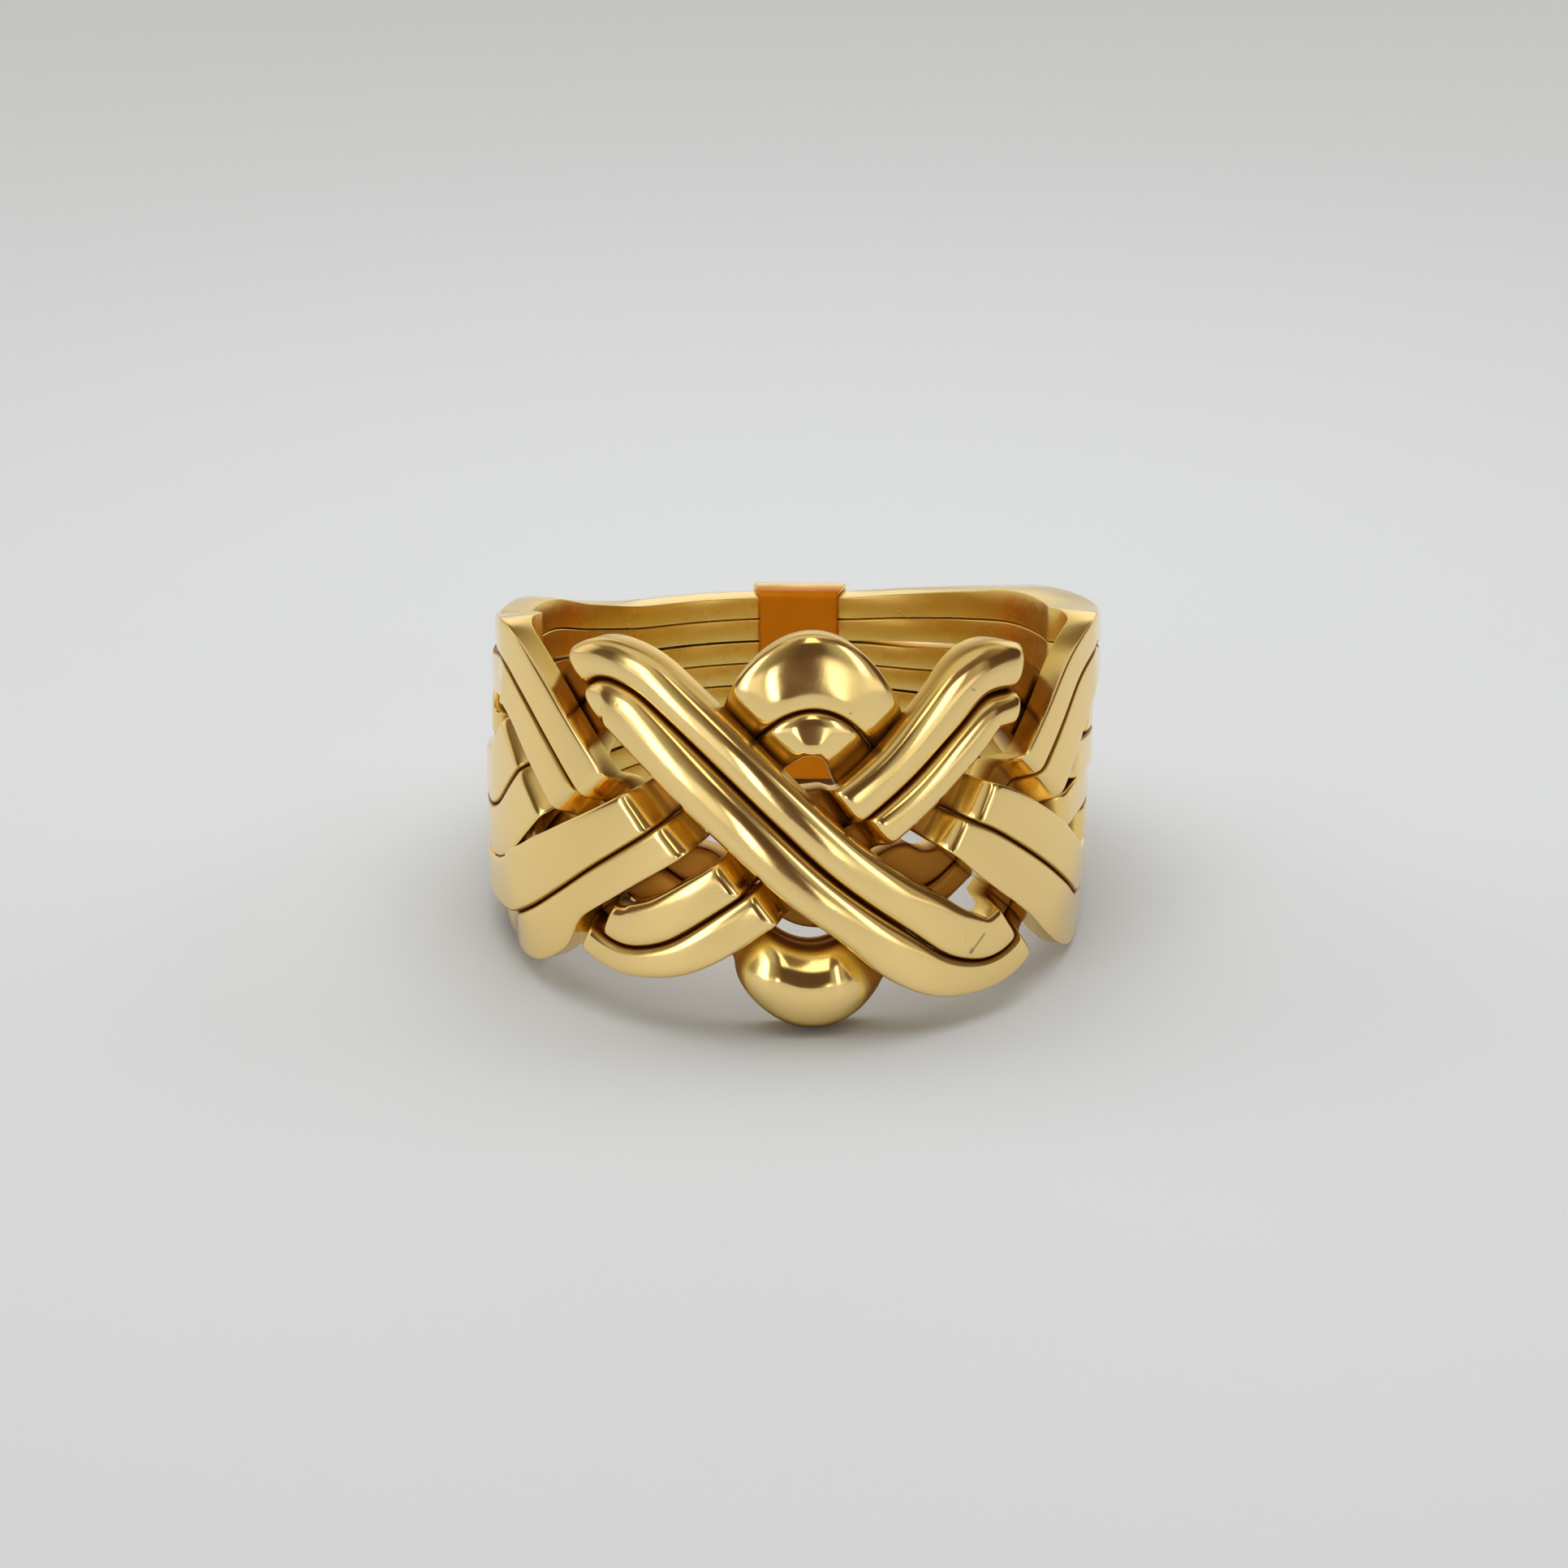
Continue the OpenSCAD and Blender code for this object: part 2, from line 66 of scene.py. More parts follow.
# Degrees between the points of the mean that eases a table, and each point's place and weight
ROUTE_EASE, LEVEL_EASE = 1.6, 0.5
EASE_WEIGHTS = ((-2, 1 / 16), (-1, 4 / 16), (0, 6 / 16), (1, 4 / 16), (2, 1 / 16))
# Degrees over which the slope of a route is taken
SLOPE_SPAN = 1.0
# Degrees of a turn, and rows of a table repeated past each end, because it closes round the ring
FULL_TURN, WRAPPED = 360, 2

# How the ring lies: leaned back on its front lobe, turned, and lifted to stand on the floor
REST_LEAN, REST_TURN = 9.9, 4.0
REST_AT = (-0.06, 0.16, 5.70)

# Keeper strap: place and span in degrees, thickness, gap round the bands, inner radius of its bends
# and radius of its rims
KEEPER_ANGLE, KEEPER_SPAN = 174, 19
KEEPER_T, KEEPER_GAP = 0.24, 0.06
KEEPER_BEND, KEEPER_RIM = 0.02, 0.07

# How finely the bands are cut: rings round a band, points over its crown, radius of its rounded
# inner edges and the angles of the points on them
RINGS = 640
CROWN_POINTS = 24
INNER_EDGE = 0.05
EDGE_TURNS = (0, 30, 60, 90)
# How finely the strap is cut: points on a bend and on a rim, and spacing on its straight runs
BEND_POINTS, RIM_POINTS = 7, 5
STRAP_SPACING = 0.25

# Worn swell of the walls in a seam, and its heights as shares of the wall
RUB = 0.026
RUB_HEIGHTS = (0.3, 0.6)

# Tone of the gold, from 0 for the darkest painted shade to 1 for the open faces without it
# Radii between which the painted shade fades out, in the weave and in the shank
RECESS, SHANK = (10.46, 10.9), (9.6, 10.85)
# Angles at which the weave gives way to the shank
WEAVE_END = (84, 100)
# Tone of a side wall in the weave, as painted shade, and shares of the thickness where the wall
# becomes the face
WALL_TONE, WALL = 0.22, (0.50, 0.95)
# Tone of the inner wall: painted shade, with a painted reflection of the gold facing it
INNER_TONE = 0.5
# Reach of the painted shade beside a seam
SEAM_REACH = (0.03, 0.17)

# Golds: painted shade in the recesses, inner wall with painted reflection, open faces; roughness
BAND_GOLD = ((0.34, 0.14, 0.02), (0.97, 0.71, 0.20), (0.985, 0.72, 0.30), 0.105)
# The strap's deep orange is painted shade and a painted reflection of the bands' gold on its inner
# side
KEEPER_GOLD = ((0.90, 0.32, 0.012), (0.90, 0.46, 0.06), (0.99, 0.735, 0.315), 0.22)

# Surface of the gold: noise scales are per metre, because the shader works in metres
# Unevenness of the tone
CLOUD, CLOUD_SCALE, CLOUD_DETAIL = 0.10, 420, 5
# Smears in the polish: the noise values that they span and the shares of the roughness there
SMEAR_SCALE, SMEAR_DETAIL = 900, 4
SMEAR_SPAN, SMEAR_SHARES = (0.3, 0.75), (0.75, 1.5)
# Roughness added where the gold is brown
DULL = 0.34
# Shallow dents, fine grain and pits, each with the strength and depth of its bump
DENT_SCALE, DENT_DETAIL, DENT_BUMP = 420, 1, (0.3, 0.05)
GRAIN_SCALE, GRAIN_DETAIL, GRAIN_BUMP = 5000, 3, (0.3, 0.003)
PIT_SCALE, PIT_EDGE, PIT_BUMP = 700, (0.02, 0.07), (0.2, 0.01)

# Scratches and pits: start and end as angle, radius and height, reach, strength
MARK_COLOUR = (0.30, 0.20, 0.06)
MARKS = [
    ((31.0, 11.67, -4.25), (28.4, 11.67, -4.75), 0.080, 0.85),
    ((28.5, 11.67, -4.72), (28.2, 11.67, -4.80), 0.130, 1.0),
    ((27.0, 11.68, -4.10), (27.0, 11.68, -4.33), 0.045, 0.45),
    ((6.3, 11.08, 3.97), (6.5, 11.08, 3.95), 0.055, 1.0),
    ((28.3, 11.48, 4.52), (28.8, 11.48, 4.48), 0.070, 0.8),
]

# Floor: how far it reaches to the sides and back, how far to the front, and its look
FLOOR_REACH, FLOOR_FRONT = 1500, 60
FLOOR_COLOUR = (0.55, 0.58, 0.62)
FLOOR_ROUGHNESS, FLOOR_SPECULAR = 0.6, 0.2

# Lamps: place, target, width and depth, watts
LAMPS = {
    "overhead": ((0, 70, 300), (0, 30, 0), (300, 300), 0.25),
    "near": ((0, 10, 100), (0, 0, 0), (100, 100), 0.055),
    "left": ((-280, 100, 160), (0, 20, 5), (200, 240), 0.26),
    "right": ((280, 100, 160), (0, 20, 5), (200, 240), 0.29),
}

# Camera: what it looks at, distance from there, degrees above the horizon, lens, sensor, clipping
CAMERA_TARGET = (-0.30, 0.14, 4.12)
CAMERA_DISTANCE, CAMERA_ELEVATION = 130, 25.3
CAMERA_LENS, CAMERA_SENSOR = 80.42, 36
CAMERA_CLIP = (5, 20000)

# Route columns: angle from the front, height of the dividing line, width of the upper band,
# width of the lower band, gap between them
# Level columns: angle, inner radius, outer radius, dome from 0 for flat to 1 for round
BOTTOM_LOOP_ROUTE = [
    [-165, 2.66, 0.83, 0.83, PAIR_GAP], [-150, 2.68, 0.84, 0.84, PAIR_GAP],
    [-131, 3.08, 0.94, 0.93, PAIR_GAP], [-113, 3.68, 1.12, 1.1, PAIR_GAP],
    [-90, 3.85, 1.3, 1.4, PAIR_GAP], [-76, 4.35, 1.3, 1.6, PAIR_GAP],
    [-68, 4.45, 1.4, 1.7, PAIR_GAP], [-60, 3.6, 1.4, 1.35, PAIR_GAP],
    [-52, 2.2, 1.36, 1.42, PAIR_GAP], [-45, 0.7, 1.4, 1.35, PAIR_GAP],
    [-40, -0.26, 1.15, 1.75, PAIR_GAP], [-34, -1.25, 1.15, 1.95, PAIR_GAP],
    [-28, -2.01, 1.25, 1.8, PAIR_GAP], [-24, -2.4, 1.45, 1.6, PAIR_GAP],
    [-20, -2.69, 1.5, 1.4, 0.09], [-16, -2.95, 0.72, 1.4, 0.15], [-10, -3.35, 0.75, 1.8, 0.4],
    [-5, -3.95, 0.9, 2.5, 0.5], [0, -4.18, 0.95, 3.1, 0.5], [5, -3.95, 1, 2.62, 0.5],
    [10, -3.35, 0.9, 1.8, 0.4], [12, -3.19, 1.25, 1.6, 0.32], [16, -2.95, 1.75, 1.3, 0.15],
    [20, -2.77, 1.85, 1.1, 0.09], [24, -2.56, 1.45, 0.95, PAIR_GAP],
    [29, -1.95, 0.85, 0.95, PAIR_GAP], [34, -1.15, 0.75, 1.3, PAIR_GAP],
    [45, 0.72, 1.15, 1.65, PAIR_GAP], [52, 2.3, 1.15, 1.7, PAIR_GAP],
    [60, 3.95, 1.2, 1.75, PAIR_GAP], [70, 4.5, 1.2, 1.7, PAIR_GAP], [78, 4.2, 1.2, 1.5, PAIR_GAP],
    [90, 3.85, 1.3, 1.4, PAIR_GAP], [113, 3.66, 1.2, 1.2, PAIR_GAP],
    [130, 3.3, 1.05, 1.02, PAIR_GAP], [150, 2.9, 0.9, 0.9, PAIR_GAP],
    [165, 2.67, 0.83, 0.83, PAIR_GAP], [180, 2.66, 0.83, 0.83, PAIR_GAP]
]
BOTTOM_LOOP_LOWER_LEVEL = [
    [-180, BORE_R, 10.9, 0.1], [-90, BORE_R, 10.9, 0.1], [-74, BORE_R, 11.1, 0.1],
    [-65, OVER_R, 11.4, 0.1], [-45, OVER_R, 11.45, 0.1], [-43.2, BORE_R, UNDER_R, 0.3],
    [-10, BORE_R, UNDER_R, 0.6], [-3.5, BORE_R, 11.1, 0.9], [2, BORE_R, 11.1, 0.9],
    [7, BORE_R, UNDER_R, 0.6], [44, BORE_R, UNDER_R, 0.3], [46, OVER_R, 11.45, 0.1],
    [66, OVER_R, 11.45, 0.1], [75, BORE_R, 11.3, 0.1], [90, BORE_R, 11.3, 0.1]
]
BOTTOM_LOOP_UPPER_LEVEL = [
    [-180, BORE_R, 10.9, 0.1], [-112, BORE_R, 10.75, 0.1], [-100, BORE_R, 10.6, 0.1],
    [-88, BORE_R, 10.65, 0.1], [-74, BORE_R, 11.1, 0.1], [-65, OVER_R, 11.4, 0.1],
    [-43.7, OVER_R, 11.45, 0.1], [-41.9, BORE_R, UNDER_R, 0.3], [-17, BORE_R, UNDER_R, 0.3],
    [-12, BORE_R, 9.92, 0.3], [-1, BORE_R, 9.92, 0.3], [5, BORE_R, UNDER_R, 0.3],
    [44, BORE_R, UNDER_R, 0.3], [46, OVER_R, 11.45, 0.1], [66, OVER_R, 11.45, 0.1],
    [75, BORE_R, 11.3, 0.1], [90, BORE_R, 11.3, 0.1]
]
TOP_LOOP_ROUTE = [
    [-150, -2.66, 0.8, 0.8, PAIR_GAP], [-131, -3, 0.92, 0.88, PAIR_GAP],
    [-113, -3.26, 1.02, 1, PAIR_GAP], [-90, -4.3, 1.18, 0.85, PAIR_GAP],
    [-76, -4.87, 1.55, 1, PAIR_GAP], [-66, -4.77, 2.05, 1.35, PAIR_GAP],
    [-59, -4.27, 2.2, 1.85, PAIR_GAP], [-54, -3.72, 2.12, 1.85, PAIR_GAP],
    [-51, -3.33, 2.1, 1.65, PAIR_GAP], [-49, -3.08, 2.05, 1.15, PAIR_GAP],
    [-42, -2.1, 1.82, 1.22, PAIR_GAP], [-36, -1.3, 1.66, 1.22, PAIR_GAP],
    [-27, -0.05, 1.5, 1.28, PAIR_GAP], [-18, 1.6, 1.35, 1.3, PAIR_GAP],
    [-10, 3.03, 1.55, 1.42, PAIR_GAP], [-7.5, 3.55, 1.9, 1.48, PAIR_GAP],
    [-5, 3.87, 2.2, 1.52, PAIR_GAP], [0, 4.1, 2.7, 1.62, PAIR_GAP], [5, 3.82, 2.05, 1.52, PAIR_GAP],
    [7.5, 3.45, 1.72, 1.48, PAIR_GAP], [10, 2.9, 1.55, 1.55, PAIR_GAP],
    [12.5, 2.37, 1.48, 1.95, PAIR_GAP], [15, 1.86, 1.42, 1.9, PAIR_GAP],
    [18, 1.3, 1.35, 1.45, PAIR_GAP], [26, 0.1, 1.4, 1.15, PAIR_GAP],
    [33, -0.55, 1.5, 1.5, PAIR_GAP], [40, -1.4, 1.6, 1.68, PAIR_GAP],
    [50, -2.7, 1.65, 1.8, PAIR_GAP], [57, -3.65, 1.55, 2, PAIR_GAP],
    [64, -4.4, 1.5, 1.85, PAIR_GAP], [76, -4.6, 1.35, 1.2, PAIR_GAP],
    [90, -4.19, 1.16, 0.85, PAIR_GAP], [101, -3.78, 1.1, 0.92, PAIR_GAP],
    [113, -3.4, 1.03, 1, PAIR_GAP], [130, -3, 0.92, 0.92, PAIR_GAP],
    [150, -2.7, 0.84, 0.83, PAIR_GAP], [180, -2.66, 0.82, 0.82, PAIR_GAP]
]
TOP_LOOP_LOWER_LEVEL = [
    [-180, BORE_R, 10.9, 0.1], [-90, BORE_R, 10.6, 0.1], [-72, BORE_R, 10.8, 0.1],
    [-60, OVER_R, 11.4, 0.1], [-27.6, OVER_R, 11.5, 0.1], [-24.8, BORE_R, UNDER_R, 0.3],
    [-13, BORE_R, UNDER_R, 0.4], [-10.5, 9.6, UNDER_R, 0.4], [-9.4, 9.75, 10.75, 0.4],
    [-7.5, 9.9, 10.98, 0.4], [-3, 9.9, 11.1, 0.4], [3, 9.9, 11.1, 0.4], [7.6, 9.9, 10.98, 0.4],
    [9.4, 9.75, 10.75, 0.4], [10.6, 9.6, UNDER_R, 0.4], [12.5, BORE_R, UNDER_R, 0.4],
    [25.2, BORE_R, UNDER_R, 0.3], [28, OVER_R, 11.45, 0.1], [55, OVER_R, 11.4, 0.1],
    [68, OVER_R, 10.95, 0.1], [77, BORE_R, 10.8, 0.1], [90, BORE_R, 10.7, 0.1]
]
TOP_LOOP_UPPER_LEVEL = [
    [-180, BORE_R, 10.9, 0.1], [-90, BORE_R, 11.2, 0.1], [-72, BORE_R, 11.35, 0.1],
    [-60, OVER_R, 11.5, 0.1], [-29.6, OVER_R, 11.5, 0.1], [-26.6, BORE_R, UNDER_R, 0.3],
    [-14, BORE_R, UNDER_R, 0.4], [-10.5, 9.8, UNDER_R, 0.5], [-9, 10.05, 10.8, 0.5],
    [-7.5, 10.2, 11.02, 0.5], [-3.5, 10.25, 11.15, 0.5], [3.7, 10.25, 11.15, 0.5],
    [7.7, 10.2, 11.02, 0.5], [9.6, 10.05, 10.85, 0.5], [11, 9.8, UNDER_R, 0.5],
    [14, BORE_R, UNDER_R, 0.4], [27.4, BORE_R, UNDER_R, 0.3], [30.9, OVER_R, 11.45, 0.1],
    [55, OVER_R, 11.4, 0.1], [68, OVER_R, 11.05, 0.1], [77, BORE_R, 10.95, 0.1],
    [90, BORE_R, 10.9, 0.1]
]
OVER_PAIR_ROUTE = [
    [-150, -0.87, 0.82, 0.82, PAIR_GAP], [-131, -0.95, 0.95, 0.95, PAIR_GAP],
    [-113, -1.02, 1.05, 1.05, PAIR_GAP], [-100, -1.25, 1.35, 1.3, PAIR_GAP],
    [-88, -1.45, 1.85, 1.5, PAIR_GAP], [-81, -1.5, 2, 1.8, PAIR_GAP],
    [-75, -1.2, 2, 1.85, PAIR_GAP], [-67, 0, 2, 1.9, PAIR_GAP], [-62, 0.85, 2, 1.9, PAIR_GAP],
    [-54, 2.4, 1.7, 1.7, PAIR_GAP], [-46, 3.9, 1.4, 1.3, PAIR_GAP],
    [-38, 4.86, 1.35, 1.6, PAIR_GAP], [-32.5, 4.61, 1.4, 1.8, PAIR_GAP],
    [-26, 3.7, 1.4, 1.85, PAIR_GAP], [-17, 2.13, 1.4, 1.85, PAIR_GAP],
    [-7, 0.2, 1.4, 1.7, PAIR_GAP], [2, -1.55, 1.45, 1.6, PAIR_GAP],
    [9.5, -2.77, 1.5, 1.5, PAIR_GAP], [17, -3.85, 1.6, 1.7, PAIR_GAP],
    [25, -4.95, 1.65, 1.42, PAIR_GAP], [32, -5.25, 1.45, 1.05, PAIR_GAP],
    [38, -4.98, 1.5, 1, PAIR_GAP], [44, -4.12, 1.4, 1.1, PAIR_GAP],
    [52, -2.65, 1.35, 1.25, PAIR_GAP], [60, -1.96, 1.4, 1.4, PAIR_GAP],
    [68, -1.68, 1.4, 1.4, PAIR_GAP], [78, -1.62, 1.3, 1.3, PAIR_GAP],
    [90, -1.65, 1.2, 1.18, PAIR_GAP], [101, -1.36, 1.12, 1.1, PAIR_GAP],
    [113, -1.14, 1.05, 1.05, PAIR_GAP], [130, -0.98, 0.95, 0.95, PAIR_GAP],
    [150, -0.9, 0.83, 0.83, PAIR_GAP], [180, -0.88, 0.82, 0.82, PAIR_GAP]
]
OVER_PAIR_LOWER_LEVEL = [
    [-180, BORE_R, 10.9, 0.1], [-110, BORE_R, 10.9, 0.1], [-102, 10.25, 11.15, 0.1],
    [-63.5, 10.35, 11.2, 0.1], [-60.5, BORE_R, UNDER_R, 0.2], [-46.5, BORE_R, UNDER_R, 0.4],
    [-43, 10.3, 11.5, 0.7], [-32, OVER_R, 11.75, 0.7], [12, OVER_R, 11.75, 0.6],
    [22, OVER_R, 11.72, 0.3], [32, OVER_R, 11.65, 0.2], [40.2, 10.3, 11.5, 0.2],
    [43.1, BORE_R, UNDER_R, 0.2], [69.5, BORE_R, UNDER_R, 0.2], [73.5, BORE_R, 10.95, 0.1],
    [90, BORE_R, 10.95, 0.1]
]
OVER_PAIR_UPPER_LEVEL = [
    [-180, BORE_R, 10.9, 0.1], [-110, BORE_R, 10.9, 0.1], [-102, 10.25, 11.15, 0.1],
    [-63.5, 10.35, 11.2, 0.1], [-60.5, BORE_R, UNDER_R, 0.2], [-45.5, BORE_R, UNDER_R, 0.4],
    [-42, 10.3, 11.5, 0.7], [-32, OVER_R, 11.75, 0.7], [12, OVER_R, 11.75, 0.6],
    [22, OVER_R, 11.72, 0.3], [32, OVER_R, 11.65, 0.2], [39.7, 10.3, 11.5, 0.2],
    [42.1, BORE_R, UNDER_R, 0.2], [58, BORE_R, UNDER_R, 0.2], [62, BORE_R, 10.95, 0.1],
    [90, BORE_R, 10.95, 0.1]
]
UNDER_PAIR_ROUTE = [
    [-150, 0.87, 0.82, 0.82, PAIR_GAP], [-131, 1.07, 0.92, 0.92, PAIR_GAP],
    [-113, 1.3, 1.05, 1.05, PAIR_GAP], [-100, 1.2, 1.1, 1.1, PAIR_GAP],
    [-90, 0.9, 1.1, 1.1, PAIR_GAP], [-80, 0.3, 1.1, 1.1, PAIR_GAP],
    [-72, -0.5, 1.15, 1.15, PAIR_GAP], [-60, -1.9, 1.2, 1.2, PAIR_GAP],
    [-50, -3.2, 1.2, 1.2, PAIR_GAP], [-42, -4.15, 1.1, 1, PAIR_GAP], [-34, -4.65, 1.5, 1, PAIR_GAP],
    [-27, -4.35, 1.55, 1.2, PAIR_GAP], [-20, -3.5, 1.5, 1.4, PAIR_GAP],
    [-10, -2.1, 1.4, 1.4, PAIR_GAP], [-8, -1.86, 1.75, 1.4, PAIR_GAP],
    [-4, -1.41, 2.15, 1.4, PAIR_GAP], [0, -0.95, 2.2, 1.3, PAIR_GAP],
    [4, -0.47, 1.9, 1.3, PAIR_GAP], [8, 0.05, 1.45, 1.25, PAIR_GAP], [17, 1.4, 1.5, 1.3, PAIR_GAP],
    [27, 3.15, 1.75, 1.35, PAIR_GAP], [34, 4.1, 1.85, 1.3, PAIR_GAP],
    [40, 4.1, 1.6, 1.25, PAIR_GAP], [46, 3.4, 1.35, 1.25, PAIR_GAP], [54, 2.1, 1.35, 1.3, PAIR_GAP],
    [62, 1.38, 1.4, 1.4, PAIR_GAP], [75, 1.15, 1.42, 1.35, PAIR_GAP],
    [90, 0.95, 1.27, 1.25, PAIR_GAP], [113, 1.14, 1.05, 1.05, PAIR_GAP],
    [130, 1.08, 0.93, 0.95, PAIR_GAP], [150, 0.9, 0.83, 0.83, PAIR_GAP],
    [180, 0.88, 0.82, 0.82, PAIR_GAP]
]
UNDER_PAIR_LOWER_LEVEL = [
    [-180, BORE_R, 10.9, 0.1], [-114, BORE_R, 10.9, 0.1], [-106, BORE_R, 10.15, 0.1],
    [-60, BORE_R, 10.15, 0.1], [-43.7, BORE_R, UNDER_R, 0.3], [-42, 10.3, 11.4, 0.4],
    [-36, OVER_R, 11.45, 0.4], [-11, OVER_R, 11.5, 0.4], [-8.8, 10.02, UNDER_R, 0.3],
    [-2, 10.02, UNDER_R, 0.3], [2, BORE_R, UNDER_R, 0.3], [8, BORE_R, UNDER_R, 0.3],
    [9.8, OVER_R, 11.4, 0.6], [27, OVER_R, 11.5, 0.8], [34, 10.1, 11.5, 0.8],
    [40.5, 10.1, 11.45, 0.8], [43.5, BORE_R, UNDER_R, 0.4], [60, BORE_R, UNDER_R, 0.2],
    [64, BORE_R, 11.1, 0.1], [90, BORE_R, 11.1, 0.1]
]
UNDER_PAIR_UPPER_LEVEL = [
    [-180, BORE_R, 10.9, 0.1], [-114, BORE_R, 10.9, 0.1], [-87, BORE_R, 10.95, 0.1],
    [-83, BORE_R, 10.15, 0.1], [-60, BORE_R, 10.15, 0.1], [-41.2, BORE_R, UNDER_R, 0.3],
    [-39.6, 10.3, 11.4, 0.4], [-36, OVER_R, 11.45, 0.4], [-12.6, OVER_R, 11.5, 0.4],
    [-10.4, BORE_R, UNDER_R, 0.3], [6.6, BORE_R, UNDER_R, 0.3], [8.4, OVER_R, 11.4, 0.6],
    [27, OVER_R, 11.5, 0.8], [34, 10.1, 11.5, 0.8], [39.5, 10.1, 11.45, 0.8],
    [42.5, BORE_R, UNDER_R, 0.4], [67, BORE_R, UNDER_R, 0.2], [71, BORE_R, 11.1, 0.1],
    [90, BORE_R, 11.1, 0.1]
]

# Node: its route, its level table, and its side of the dividing line
BANDS = {
    "over_band_upper": (OVER_PAIR_ROUTE, OVER_PAIR_UPPER_LEVEL, 1),
    "over_band_lower": (OVER_PAIR_ROUTE, OVER_PAIR_LOWER_LEVEL, -1),
    "under_band_upper": (UNDER_PAIR_ROUTE, UNDER_PAIR_UPPER_LEVEL, 1),
    "under_band_lower": (UNDER_PAIR_ROUTE, UNDER_PAIR_LOWER_LEVEL, -1),
    "top_loop_outer": (TOP_LOOP_ROUTE, TOP_LOOP_UPPER_LEVEL, 1),
    "top_loop_inner": (TOP_LOOP_ROUTE, TOP_LOOP_LOWER_LEVEL, -1),
    "bottom_loop_inner": (BOTTOM_LOOP_ROUTE, BOTTOM_LOOP_UPPER_LEVEL, 1),
    "bottom_loop_outer": (BOTTOM_LOOP_ROUTE, BOTTOM_LOOP_LOWER_LEVEL, -1),
}

# Columns of a route and of a level table
LINE, UPPER_W, LOWER_W, GAP = 1, 2, 3, 4
INNER_R, OUTER_R, DOME = 1, 2, 3

# Half the height of the stack at the back, from the last row of the outermost pair
BACK_LINE, BACK_BAND_W = BOTTOM_LOOP_ROUTE[-1][LINE], BOTTOM_LOOP_ROUTE[-1][UPPER_W]
BACK_HALF_H = BACK_LINE + BACK_BAND_W + PAIR_GAP / 2

# Tent seen in the gold: angle from the front and its colour, round the horizon and above it
LOW_TENT = [
    (-180, (0.75, 0.73, 0.71)), (-100, (0.75, 0.73, 0.70)), (-92, (0.60, 0.56, 0.48)),
    (-84, (0.12, 0.09, 0.05)), (-70, (0.12, 0.09, 0.05)), (-60, (0.70, 0.68, 0.64)),
    (-50, (0.78, 0.76, 0.72)), (-46, (2.4, 2.4, 2.4)), (-38, (2.4, 2.4, 2.4)),
    (-33, (0.80, 0.78, 0.75)), (-22, (0.70, 0.69, 0.64)), (-17, (0.42, 0.40, 0.34)),
    (-15, (2.6, 2.6, 2.6)), (-10, (2.6, 2.6, 2.6)), (-8, (0.60, 0.56, 0.48)),
    (-5, (0.12, 0.08, 0.05)), (3, (0.10, 0.06, 0.04)), (9, (0.10, 0.06, 0.04)),
    (12, (0.30, 0.26, 0.20)), (14, (1.5, 1.5, 1.4)), (18, (1.3, 1.3, 1.2)),
    (24, (0.70, 0.70, 0.60)), (32, (0.60, 0.60, 0.52)), (40, (0.78, 0.76, 0.73)),
    (62, (0.76, 0.74, 0.70)), (72, (0.12, 0.08, 0.05)), (86, (0.12, 0.08, 0.05)),
    (98, (0.45, 0.41, 0.34)), (140, (0.75, 0.73, 0.70)), (180, (0.75, 0.73, 0.71)),
]
HIGH_TENT = [
    (-180, (0.85, 0.84, 0.82)), (-160, (0.62, 0.58, 0.50)), (-138, (0.38, 0.32, 0.22)),
    (-112, (0.75, 0.73, 0.68)), (-95, (0.50, 0.46, 0.38)), (-86, (0.10, 0.07, 0.04)),
    (-68, (0.10, 0.07, 0.04)), (-60, (0.40, 0.40, 0.32)), (-53, (1.6, 1.6, 1.5)),
    (-45, (2.4, 2.4, 2.4)), (-38, (1.4, 1.4, 1.4)), (-33, (0.36, 0.36, 0.28)),
    (-20, (0.22, 0.20, 0.14)), (-12, (0.16, 0.12, 0.07)), (0, (0.08, 0.05, 0.03)),
    (14, (0.08, 0.05, 0.03)), (22, (0.30, 0.28, 0.22)), (32, (0.42, 0.42, 0.34)),
    (36, (1.9, 1.9, 1.9)), (44, (1.7, 1.7, 1.7)), (50, (0.30, 0.26, 0.19)),
    (62, (0.36, 0.31, 0.23)), (72, (0.08, 0.05, 0.03)), (128, (0.06, 0.04, 0.02)),
    (142, (0.75, 0.73, 0.70)), (180, (0.85, 0.84, 0.82)),
]
UPPER_TENT = [
    (-180, (0.14, 0.10, 0.05)), (-160, (0.18, 0.13, 0.07)), (-135, (0.48, 0.44, 0.36)),
    (-110, (0.42, 0.38, 0.30)), (-95, (0.16, 0.12, 0.07)), (-70, (0.16, 0.12, 0.07)),
    (-45, (0.50, 0.46, 0.36)), (-24, (0.40, 0.36, 0.27)), (-10, (0.14, 0.10, 0.06)),
    (0, (0.20, 0.14, 0.08)), (3, (1.6, 1.55, 1.1)), (13, (1.6, 1.55, 1.1)),
    (17, (0.18, 0.12, 0.07)), (50, (0.12, 0.08, 0.05)), (75, (0.14, 0.10, 0.06)),
    (108, (0.22, 0.17, 0.10)), (128, (0.50, 0.46, 0.38)), (150, (0.30, 0.26, 0.18)),
    (180, (0.14, 0.10, 0.05)),
]
TENT_TOP = (0.50, 0.47, 0.42)
# Brightest value in the tables, by which they are divided to fit a ramp, and the gain over them
TENT_PEAK = 2.6
TENT_GAIN = 1.27
# Sines of the heights at which one part of the tent gives way to the next
LOW_TO_HIGH, HIGH_TO_UPPER, UPPER_TO_TOP = (-0.05, 0.08), (0.40, 0.55), (0.78, 0.92)

# Sockets of a mix node that holds colours, and the distance between nodes in the editor
MIX_A, MIX_B, MIX_RESULT = 6, 7, 2
NODE_SPACING = 200


